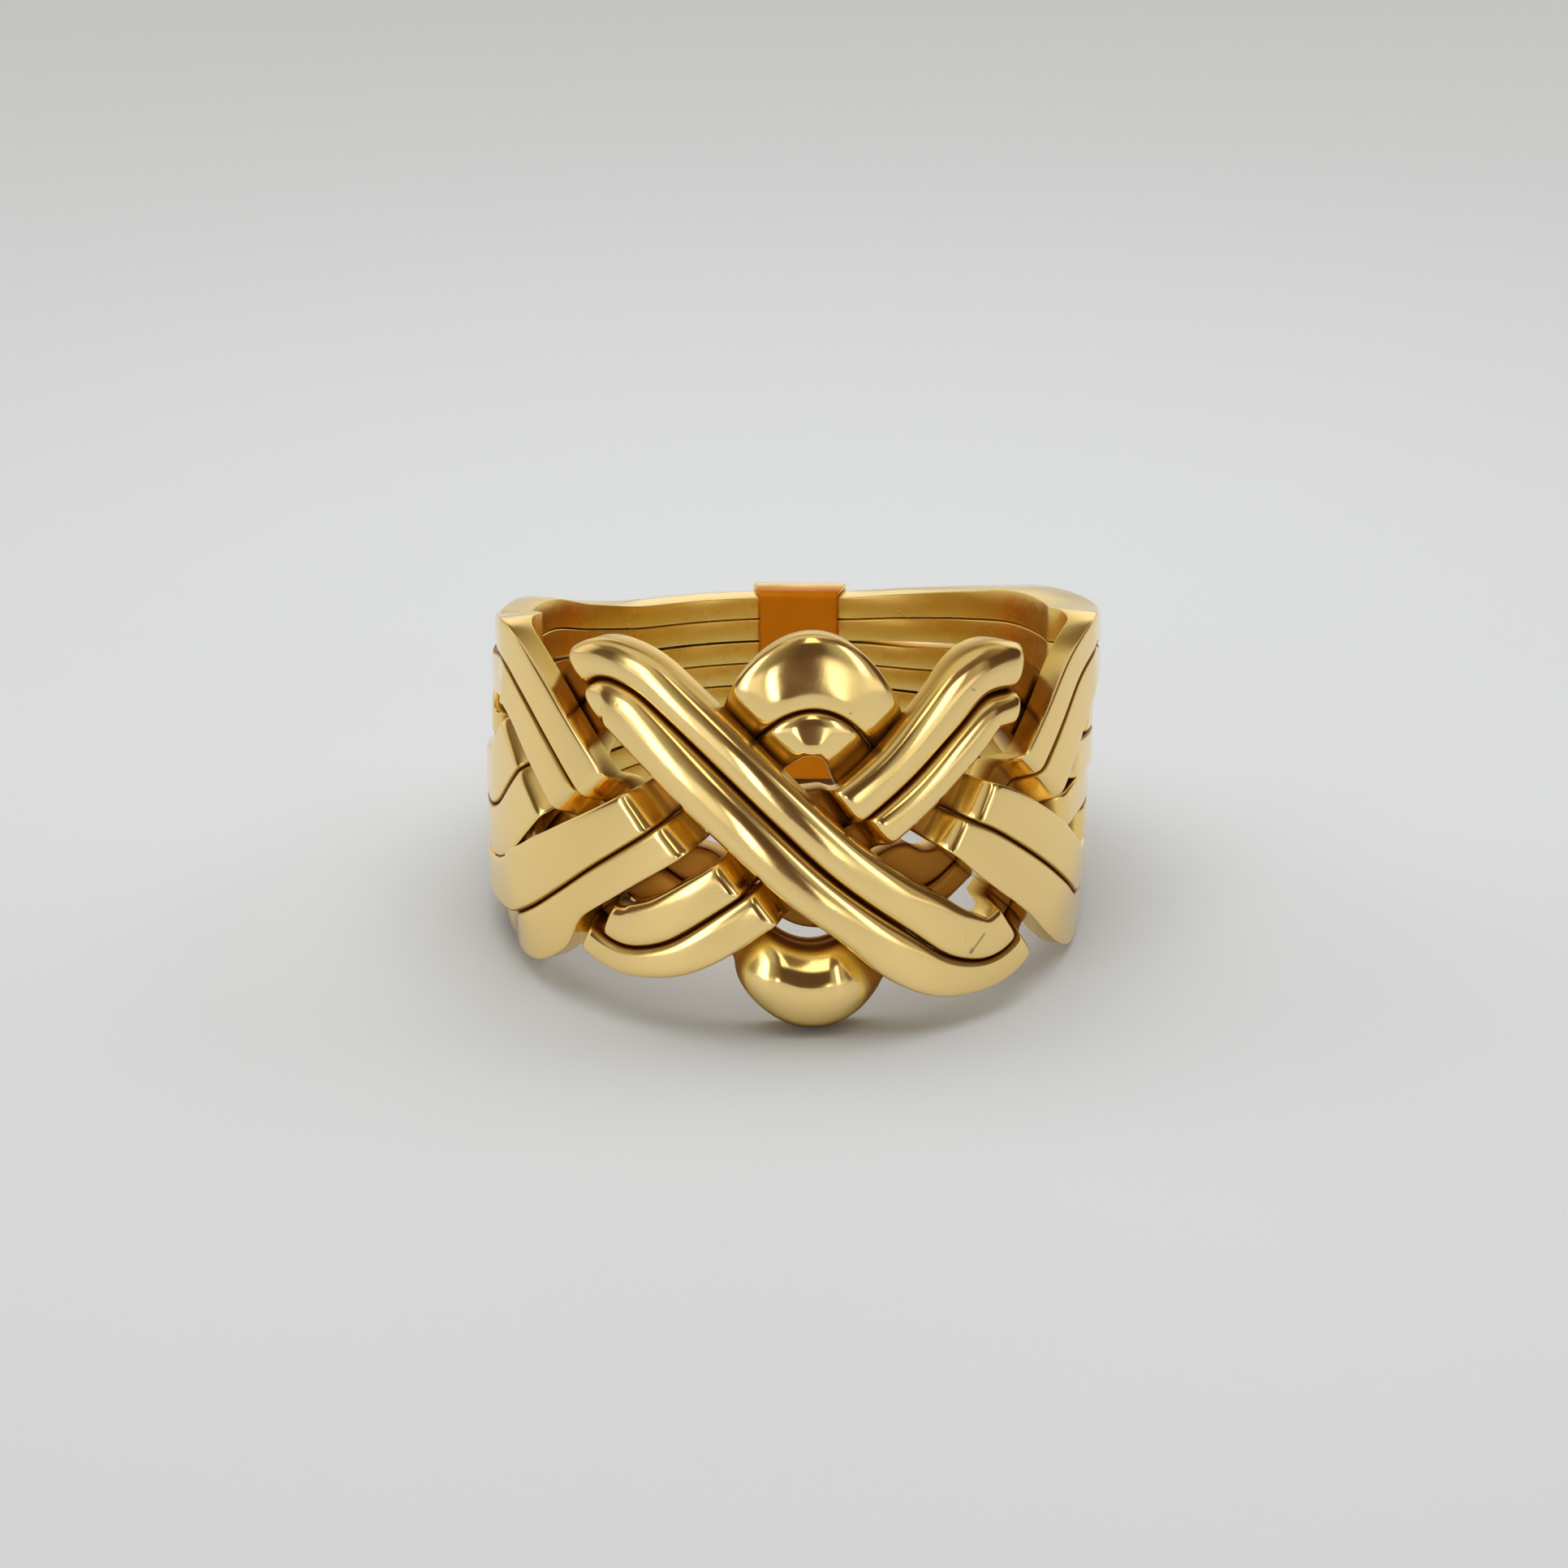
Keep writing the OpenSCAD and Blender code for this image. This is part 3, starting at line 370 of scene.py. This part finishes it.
def curve(rows, col):
    """Knots, values and slopes of one table column, wrapped past both ends."""
    rows = np.array(rows, float)
    x, y = rows[:, 0], rows[:, col]
    x = np.concatenate([x[-WRAPPED:] - FULL_TURN, x, x[:WRAPPED] + FULL_TURN])
    y = np.concatenate([y[-WRAPPED:], y, y[:WRAPPED]])
    run = np.diff(x)
    chord = np.diff(y) / run
    slope = np.zeros(len(x))
    for i in range(1, len(x) - 1):
        if chord[i - 1] * chord[i] > 0:
            w0, w1 = 2 * run[i] + run[i - 1], run[i] + 2 * run[i - 1]
            slope[i] = (w0 + w1) / (w0 / chord[i - 1] + w1 / chord[i])
    return x, y, slope


def read(c, a):
    """The curve at angles a, without overshoot between knots."""
    x, y, slope = c
    a = (a - x[WRAPPED]) % FULL_TURN + x[WRAPPED]
    k = np.clip(np.searchsorted(x, a, side="right") - 1, 0, len(x) - 2)
    run = x[k + 1] - x[k]
    t = (a - x[k]) / run
    return ((1 + 2 * t) * (1 - t) ** 2 * y[k] + t * (1 - t) ** 2 * run * slope[k]
            + t * t * (3 - 2 * t) * y[k + 1] + t * t * (t - 1) * run * slope[k + 1])


def eased(c, a, reach):
    """Weighted mean of the curve at five angles round each a."""
    return sum(w * read(c, a + j * reach) for j, w in EASE_WEIGHTS)


def to_rest(p):
    """Weave frame to resting frame, both in millimetres."""
    turn, lean = math.radians(REST_TURN), math.radians(REST_LEAN)
    x = p[..., 0] * math.cos(turn) - p[..., 1] * math.sin(turn)
    y = p[..., 0] * math.sin(turn) + p[..., 1] * math.cos(turn)
    z = p[..., 2]
    return np.stack([x + REST_AT[0],
                     y * math.cos(lean) + z * math.sin(lean) + REST_AT[1],
                     -y * math.sin(lean) + z * math.cos(lean) + REST_AT[2]], -1)


def on_ring(angle, r, height):
    """Point of the weave frame at an angle in degrees from the front."""
    a = np.radians(angle)
    return np.stack([r * np.sin(a), -r * np.cos(a), height], -1)


def bent(x, power):
    """Power of the size of x, with the sign of x."""
    return np.sign(x) * np.abs(x) ** power


def step(x, low, high):
    """0 below low, 1 above high, with an eased rise between."""
    t = np.clip((x - low) / (high - low), 0, 1)
    return t * t * (3 - 2 * t)


def section(w, t, dome):
    """Closed section of each ring: distance from the dividing edge, height over the inner face."""
    w, t, dome = w[:, None], t[:, None], dome[:, None]
    side = t * (SIDE_FLAT - SIDE_DOMED * dome)
    power = CORNER_FLAT + CORNER_DOMED * dome
    phi = np.linspace(0, math.pi, CROWN_POINTS)[None, :]
    crown_across = w / 2 + w / 2 * bent(np.cos(phi), power)
    crown_up = side + (t - side) * bent(np.sin(phi), power)
    turn = np.radians(EDGE_TURNS)[None, :]
    rising = INNER_EDGE - INNER_EDGE * np.cos(turn) * np.ones_like(w)
    falling = INNER_EDGE - INNER_EDGE * np.sin(turn) * np.ones_like(w)
    rub_up = side * np.array(RUB_HEIGHTS)[None, :]
    rub_across = np.full_like(rub_up, -RUB)
    across = np.concatenate([rising, w - falling, crown_across, rub_across], 1)
    up = np.concatenate([falling, rising, crown_up, rub_up], 1)
    return across, up


def tones(angle, r, across, up, thickness):
    """Tone of the gold as painted shade: 0 in the recesses and seams, 1 on the open faces."""
    # Painted shade: darker under the outer radius, on the side walls and on the inner wall
    weave = 1 - step(np.abs(angle), *WEAVE_END)
    front = step(r, *RECESS) * (WALL_TONE + (1 - WALL_TONE) * step(up / thickness, *WALL))
    front = np.where(up > INNER_EDGE, front, INNER_TONE)
    back = INNER_TONE + (1 - INNER_TONE) * step(r, *SHANK)
    painted_tone = weave * front + (1 - weave) * back
    # Painted shade in the crease beside each seam
    seam = np.where(up > INNER_EDGE, step(across, *SEAM_REACH), 1.0)
    return painted_tone * seam


def band_points(route, level, side):
    """Points and tones of one band, a closed section at each angle."""
    a = np.linspace(-180, 180, RINGS, endpoint=False)
    line = curve(route, LINE)
    z = eased(line, a, ROUTE_EASE)
    w = eased(curve(route, UPPER_W if side > 0 else LOWER_W), a, ROUTE_EASE)
    edge = eased(curve(route, GAP), a, ROUTE_EASE) / 2
    rise = eased(line, a + SLOPE_SPAN / 2, ROUTE_EASE) - eased(line, a - SLOPE_SPAN / 2, ROUTE_EASE)
    slope = rise / (math.radians(SLOPE_SPAN) * WEAVE_R)
    r_in, r_out, dome = (eased(curve(level, col), a, LEVEL_EASE) for col in (INNER_R, OUTER_R, DOME))
    across, up = section(w, r_out - r_in, dome)
    out = side * (edge[:, None] + across)
    reach = np.sqrt(1 + slope ** 2)[:, None]
    angle = a[:, None] - np.degrees(slope[:, None] / reach * out / WEAVE_R)
    r = r_in[:, None] + up
    # The tone paints shade in the recesses, seams, side walls and inner wall
    painted_tone = tones(angle, r, across, up, (r_out - r_in)[:, None])
    return on_ring(angle, r, z[:, None] + out / reach), painted_tone


def rounded_path(half_x, half_y, corner, steps):
    """Closed rounded rectangle as points and outward normals."""
    pts, normals = [], []
    for k, (sx, sy) in enumerate(((1, 1), (-1, 1), (-1, -1), (1, -1))):
        cx, cy = sx * (half_x - corner), sy * (half_y - corner)
        for t in np.linspace(0, 90, steps):
            a = math.radians(90 * k + t)
            pts.append((cx + corner * math.cos(a), cy + corner * math.sin(a)))
            normals.append((math.cos(a), math.sin(a)))
    return np.array(pts), np.array(normals)


def filled_path(pts, normals, spacing):
    """Adds points along the straight runs of a closed path."""
    out_p, out_n = [], []
    for i in range(len(pts)):
        p, q = pts[i], pts[(i + 1) % len(pts)]
        n, n2 = normals[i], normals[(i + 1) % len(pts)]
        cuts = max(1, int(np.linalg.norm(q - p) / spacing))
        for k in range(cuts):
            out_p.append(p + (q - p) * k / cuts)
            v = n + (n2 - n) * k / cuts
            out_n.append(v / np.linalg.norm(v))
    return np.array(out_p), np.array(out_n)


def keeper_points():
    """Points and tones of the strap, its thin section swept round the stack of bands."""
    r_low, r_high = BORE_R - KEEPER_GAP, BACK_R + KEEPER_GAP
    r_mid = (r_low + r_high) / 2
    half_r, half_z = (r_high - r_low) / 2 + KEEPER_T / 2, BACK_HALF_H + KEEPER_GAP + KEEPER_T / 2
    path, normals = rounded_path(half_r, half_z, KEEPER_T / 2 + KEEPER_BEND, BEND_POINTS)
    path, normals = filled_path(path, normals, STRAP_SPACING)
    half_w = math.radians(KEEPER_SPAN / 2) * r_mid
    outline, _ = rounded_path(half_w, KEEPER_T / 2, KEEPER_RIM, RIM_POINTS)
    along, height = outline[None, :, 0], outline[None, :, 1]
    angle = KEEPER_ANGLE + np.degrees(along / r_mid)
    r = r_mid + path[:, :1] + normals[:, :1] * height
    z = path[:, 1:] + normals[:, 1:] * height
    # The tone paints shade and a reflection of the bands' gold on the strap's inner side
    return on_ring(angle * np.ones_like(r), r, z), step(r, BORE_R, BACK_R)


def new_object(name, data):
    """Puts a mesh, light or camera into the scene."""
    obj = bpy.data.objects.new(name, data)
    bpy.context.scene.collection.objects.link(obj)
    return obj


def mesh_object(name, points, painted_tone, flip):
    """A closed loop of closed sections, as a smooth mesh in metres."""
    n, m = points.shape[:2]
    i, j = np.meshgrid(np.arange(n), np.arange(m), indexing="ij")
    i2, j2 = (i + 1) % n, (j + 1) % m
    quads = np.stack([i * m + j, i * m + j2, i2 * m + j2, i2 * m + j], -1).reshape(-1, 4)
    if flip:
        quads = quads[:, ::-1]
    mesh = bpy.data.meshes.new(name)
    mesh.from_pydata((to_rest(points) * MM).reshape(-1, 3).tolist(), [], quads.tolist())
    # The tone attribute carries the painted shade and painted reflection to the gold
    tone = mesh.attributes.new("tone", "FLOAT", "POINT")
    tone.data.foreach_set("value", painted_tone.astype(float).ravel())
    mesh.shade_smooth()
    return new_object(name, mesh)


def node(tree, kind, **values):
    """Adds a node with these settings, to the right of the others."""
    n = tree.nodes.new(kind)
    n.location.x = NODE_SPACING * len(tree.nodes)
    for key, value in values.items():
        setattr(n, key, value)
    return n


def plug(tree, value, socket):
    """Links what comes out of another node, or sets a constant."""
    if isinstance(value, bpy.types.NodeSocket):
        tree.links.new(value, socket)
    else:
        socket.default_value = value


def maths(tree, operation, *values):
    """Result of an operation on sockets and constants."""
    n = node(tree, "ShaderNodeMath", operation=operation)
    for value, socket in zip(values, n.inputs):
        plug(tree, value, socket)
    return n.outputs["Value"]


def map_range(tree, value, old, new=(0.0, 1.0), easing="LINEAR"):
    """The value moved from the old range to the new one, and held within it."""
    n = node(tree, "ShaderNodeMapRange", interpolation_type=easing)
    for end, from_value, to_value in zip(("Min", "Max"), old, new):
        n.inputs["From " + end].default_value = from_value
        n.inputs["To " + end].default_value = to_value
    tree.links.new(value, n.inputs["Value"])
    return n.outputs["Result"]


def colour_mix(tree, share, a, b):
    """Colour a where the share is 0, colour b where it is 1."""
    n = node(tree, "ShaderNodeMix", data_type="RGBA")
    tree.links.new(share, n.inputs["Factor"])
    plug(tree, a, n.inputs[MIX_A])
    plug(tree, b, n.inputs[MIX_B])
    return n.outputs[MIX_RESULT]


def noise(tree, place, scale, detail):
    """Values of a soft noise at each place."""
    n = node(tree, "ShaderNodeTexNoise")
    n.inputs["Scale"].default_value = scale
    n.inputs["Detail"].default_value = detail
    tree.links.new(place, n.inputs["Vector"])
    return n.outputs["Fac"]


def marks(tree, place):
    """1 along the scratches and in the pits, 0 elsewhere."""
    link = tree.links.new
    total = None
    for start, end, width, strength in MARKS:
        a, b = (Vector(to_rest(on_ring(*p)) * MM) for p in (start, end))
        run = b - a
        along = node(tree, "ShaderNodeVectorMath", operation="SUBTRACT")
        link(place, along.inputs[0])
        along.inputs[1].default_value = a
        share = node(tree, "ShaderNodeVectorMath", operation="DOT_PRODUCT")
        link(along.outputs["Vector"], share.inputs[0])
        share.inputs[1].default_value = run / run.length_squared
        held = node(tree, "ShaderNodeClamp")
        link(share.outputs["Value"], held.inputs["Value"])
        nearest = node(tree, "ShaderNodeVectorMath", operation="SCALE")
        nearest.inputs[0].default_value = run
        link(held.outputs["Result"], nearest.inputs["Scale"])
        away = node(tree, "ShaderNodeVectorMath", operation="DISTANCE")
        link(along.outputs["Vector"], away.inputs[0])
        link(nearest.outputs["Vector"], away.inputs[1])
        mask = map_range(tree, away.outputs["Value"], (width * MM, 0.0), (0.0, strength),
                         easing="SMOOTHSTEP")
        total = mask if total is None else maths(tree, "MAXIMUM", total, mask)
    return total


def gold_colour(tree, place, tone, colours):
    """Colour by tone, which holds painted shade and painted reflection, a little uneven, with the
    marks over it.
    """
    cloud = noise(tree, place, CLOUD_SCALE, CLOUD_DETAIL)
    uneven = maths(tree, "MULTIPLY_ADD", cloud, CLOUD, tone)
    # Ramp from the painted-shade brown through the inner wall's painted reflection to the open face
    ramp = node(tree, "ShaderNodeValToRGB")
    stops = ramp.color_ramp.elements
    stops.new(INNER_TONE)
    for stop, at, colour in zip(stops, (CLOUD / 2, INNER_TONE + CLOUD / 2, 1.0), colours):
        stop.position = at
        stop.color = (*colour, 1)
    tree.links.new(uneven, ramp.inputs["Fac"])
    return colour_mix(tree, marks(tree, place), ramp.outputs["Color"], (*MARK_COLOUR, 1))


def gold_roughness(tree, place, tone, rough):
    """Soft smears in the polish, and a duller surface where the gold is brown."""
    smear = noise(tree, place, SMEAR_SCALE, SMEAR_DETAIL)
    spread = map_range(tree, smear, SMEAR_SPAN, [rough * share for share in SMEAR_SHARES])
    dull = map_range(tree, tone, (0.0, 1.0), (DULL, 0.0))
    return maths(tree, "ADD", spread, dull)


def gold_bumps(tree, place):
    """Dents, grain and pits, each bump laid over the one before."""
    dents = noise(tree, place, DENT_SCALE, DENT_DETAIL)
    grain = noise(tree, place, GRAIN_SCALE, GRAIN_DETAIL)
    cells = node(tree, "ShaderNodeTexVoronoi")
    cells.inputs["Scale"].default_value = PIT_SCALE
    tree.links.new(place, cells.inputs["Vector"])
    pits = map_range(tree, cells.outputs["Distance"], PIT_EDGE)
    normal = None
    for height, (strength, depth) in ((dents, DENT_BUMP), (grain, GRAIN_BUMP), (pits, PIT_BUMP)):
        bump = node(tree, "ShaderNodeBump")
        bump.inputs["Strength"].default_value = strength
        bump.inputs["Distance"].default_value = depth * MM
        tree.links.new(height, bump.inputs["Height"])
        if normal:
            tree.links.new(normal, bump.inputs["Normal"])
        normal = bump.outputs["Normal"]
    return normal


def gold(name, deep, inner, face, rough):
    """Gold alloy with painted shade in the recesses, seams and inner wall, and smears, dents, a fine
    grain, pits and marks.
    """
    mat = bpy.data.materials.new(name)
    mat.use_nodes = True
    tree = mat.node_tree
    tree.nodes.clear()
    link = tree.links.new
    out = node(tree, "ShaderNodeOutputMaterial")
    shader = node(tree, "ShaderNodeBsdfPrincipled")
    shader.inputs["Metallic"].default_value = 1.0
    link(shader.outputs["BSDF"], out.inputs["Surface"])
    place = node(tree, "ShaderNodeTexCoord").outputs["Object"]
    # The tone attribute holds the painted shade and painted reflection
    tone = node(tree, "ShaderNodeAttribute", attribute_name="tone").outputs["Fac"]
    link(gold_colour(tree, place, tone, (deep, inner, face)), shader.inputs["Base Color"])
    link(gold_roughness(tree, place, tone, rough), shader.inputs["Roughness"])
    link(gold_bumps(tree, place), shader.inputs["Normal"])
    return mat


def floor():
    """A pale sheet. Its front edge lies out of view, and the gold mirrors the tent beyond it."""
    side, front = FLOOR_REACH * MM, FLOOR_FRONT * MM
    mesh = bpy.data.meshes.new("floor")
    corners = [(-side, -front, 0), (side, -front, 0), (side, side, 0), (-side, side, 0)]
    mesh.from_pydata(corners, [], [(0, 1, 2, 3)])
    obj = new_object("floor", mesh)
    mat = bpy.data.materials.new("floor")
    mat.use_nodes = True
    shader = mat.node_tree.nodes["Principled BSDF"]
    shader.inputs["Base Color"].default_value = (*FLOOR_COLOUR, 1)
    shader.inputs["Roughness"].default_value = FLOOR_ROUGHNESS
    shader.inputs["Specular IOR Level"].default_value = FLOOR_SPECULAR
    mesh.materials.append(mat)


def tent_rgba(colour):
    """A colour of the tent, made to fit a ramp."""
    return (*(c / TENT_PEAK for c in colour), 1)


def tent_ramp(tree, stops, share):
    """Colours round the horizon, by the share of a turn from the back over the left."""
    ramp = node(tree, "ShaderNodeValToRGB")
    elements = ramp.color_ramp.elements
    ready = len(elements)
    for k, (angle, colour) in enumerate(stops):
        element = elements[k] if k < ready else elements.new(1.0)
        element.position = angle / FULL_TURN + 0.5
        element.color = tent_rgba(colour)
    tree.links.new(share, ramp.inputs["Fac"])
    return ramp.outputs["Color"]


def tent_mix(tree, height, span, below, above):
    """One colour below the span of heights and the other above it."""
    return colour_mix(tree, map_range(tree, height, span, easing="SMOOTHSTEP"), below, above)


def world():
    """Tent mirrored in the gold: lit panels and dark gaps at three heights, and an even top."""
    tent = bpy.data.worlds.new("tent")
    bpy.context.scene.world = tent
    tent.use_nodes = True
    tree = tent.node_tree
    back = tree.nodes["Background"]
    place = node(tree, "ShaderNodeTexCoord")
    split = node(tree, "ShaderNodeSeparateXYZ")
    tree.links.new(place.outputs["Generated"], split.inputs["Vector"])
    forward = maths(tree, "MULTIPLY", split.outputs["Y"], -1)
    turn = maths(tree, "ARCTAN2", split.outputs["X"], forward)
    share = maths(tree, "MULTIPLY_ADD", turn, 0.5 / math.pi, 0.5)
    height = split.outputs["Z"]
    low, high, upper = (tent_ramp(tree, stops, share) for stops in (LOW_TENT, HIGH_TENT, UPPER_TENT))
    sides = tent_mix(tree, height, LOW_TO_HIGH, low, high)
    sides = tent_mix(tree, height, HIGH_TO_UPPER, sides, upper)
    whole = tent_mix(tree, height, UPPER_TO_TOP, sides, tent_rgba(TENT_TOP))
    tree.links.new(whole, back.inputs["Color"])
    back.inputs["Strength"].default_value = TENT_PEAK * TENT_GAIN


def area_light(name, at, target, size, power):
    """A soft light on the floor and the recesses, not seen as a panel in the polish."""
    data = bpy.data.lights.new(name, "AREA")
    data.shape = "RECTANGLE"
    data.size, data.size_y = size[0] * MM, size[1] * MM
    data.energy = power
    obj = new_object(name, data)
    obj.location = Vector(at) * MM
    obj.rotation_euler = (Vector(target) - Vector(at)).to_track_quat("-Z", "Y").to_euler()
    obj.visible_glossy = False


def camera():
    """A long lens, looking down at the front of the weave."""
    elevation = math.radians(CAMERA_ELEVATION)
    away = Vector((0, -math.cos(elevation), math.sin(elevation)))
    data = bpy.data.cameras.new("camera")
    data.sensor_width = CAMERA_SENSOR
    data.lens = CAMERA_LENS
    data.clip_start, data.clip_end = CAMERA_CLIP[0] * MM, CAMERA_CLIP[1] * MM
    obj = new_object("camera", data)
    obj.location = (Vector(CAMERA_TARGET) + away * CAMERA_DISTANCE) * MM
    obj.rotation_euler = (-away).to_track_quat("-Z", "Y").to_euler()
    bpy.context.scene.camera = obj


def build():
    """One gold mesh in the place of each piece of the part."""
    band_gold = gold("band_gold", *BAND_GOLD)
    keeper_gold = gold("keeper_gold", *KEEPER_GOLD)
    for name, (route, level, side) in BANDS.items():
        obj = mesh_object(name + "_gold", *band_points(route, level, side), side < 0)
        obj.data.materials.append(band_gold)
        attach(obj, "root")
        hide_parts(name)
    strap = mesh_object("back_keeper_gold", *keeper_points(), False)
    strap.data.materials.append(keeper_gold)
    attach(strap, "root")
    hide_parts("back_keeper")


camera()
build()
floor()
world()
for lamp, settings in LAMPS.items():
    area_light(lamp, *settings)
bpy.context.scene.view_settings.view_transform = "Standard"
